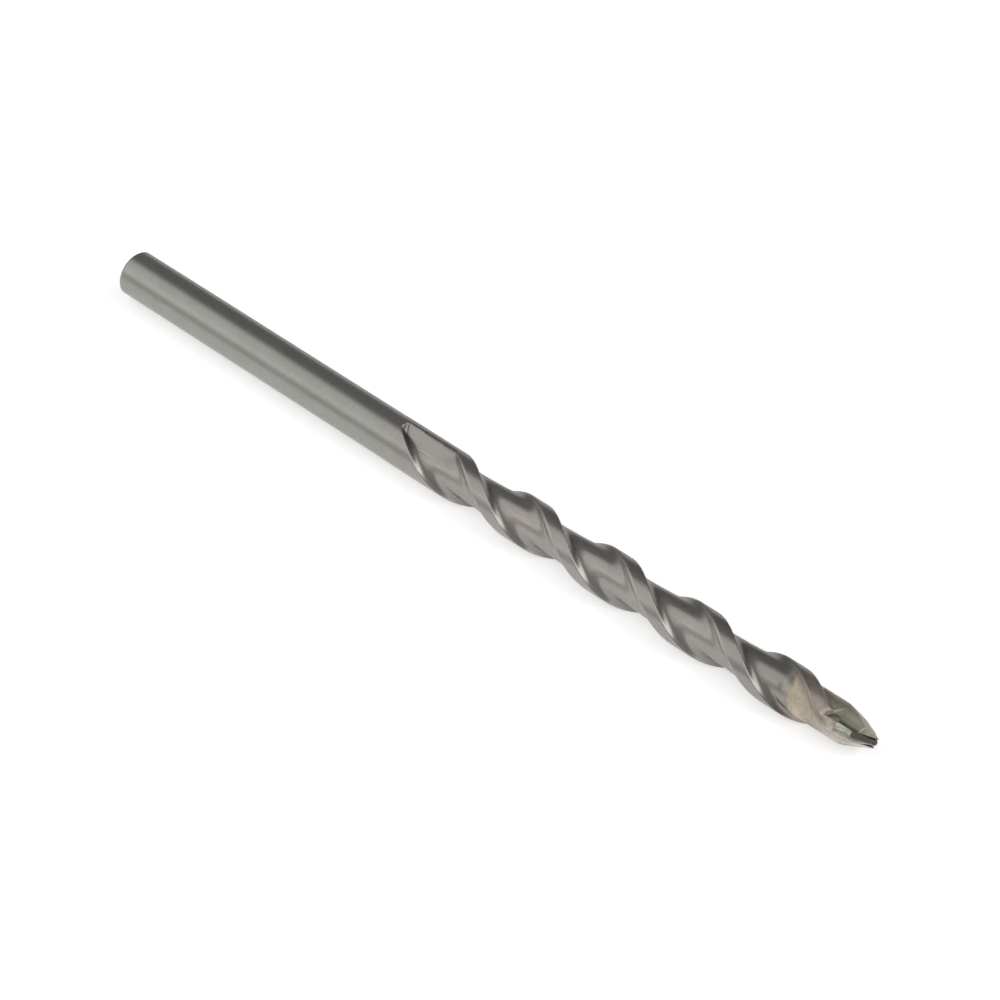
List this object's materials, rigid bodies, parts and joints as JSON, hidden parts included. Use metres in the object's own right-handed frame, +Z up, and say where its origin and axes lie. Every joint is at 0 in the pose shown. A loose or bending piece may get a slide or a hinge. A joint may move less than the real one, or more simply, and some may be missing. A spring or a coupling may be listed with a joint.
{
  "type": "carbide-tipped masonry drill bit",
  "caption": "Masonry drill bit: plain round shank, right-hand helical flutes and a carbide plate brazed across the slotted, ground head.",
  "frame": {"origin": "middle of the bit's length and width, on the surface it lies on", "axes": "+X along the bit from the shank's end to the carbide tip, +Z up"},
  "size_m": [0.15, 0.0078, 0.0078],
  "materials": {
    "steel": "satin, ground round the shank and milled along the flutes",
    "carbide": "ground sintered carbide",
    "braze": "dull brazing filler"
  },
  "bodies": {
    "root": {"steel_body": "steel", "carbide_tip": "carbide", "braze_joint": "braze"}
  },
  "joints": []
}
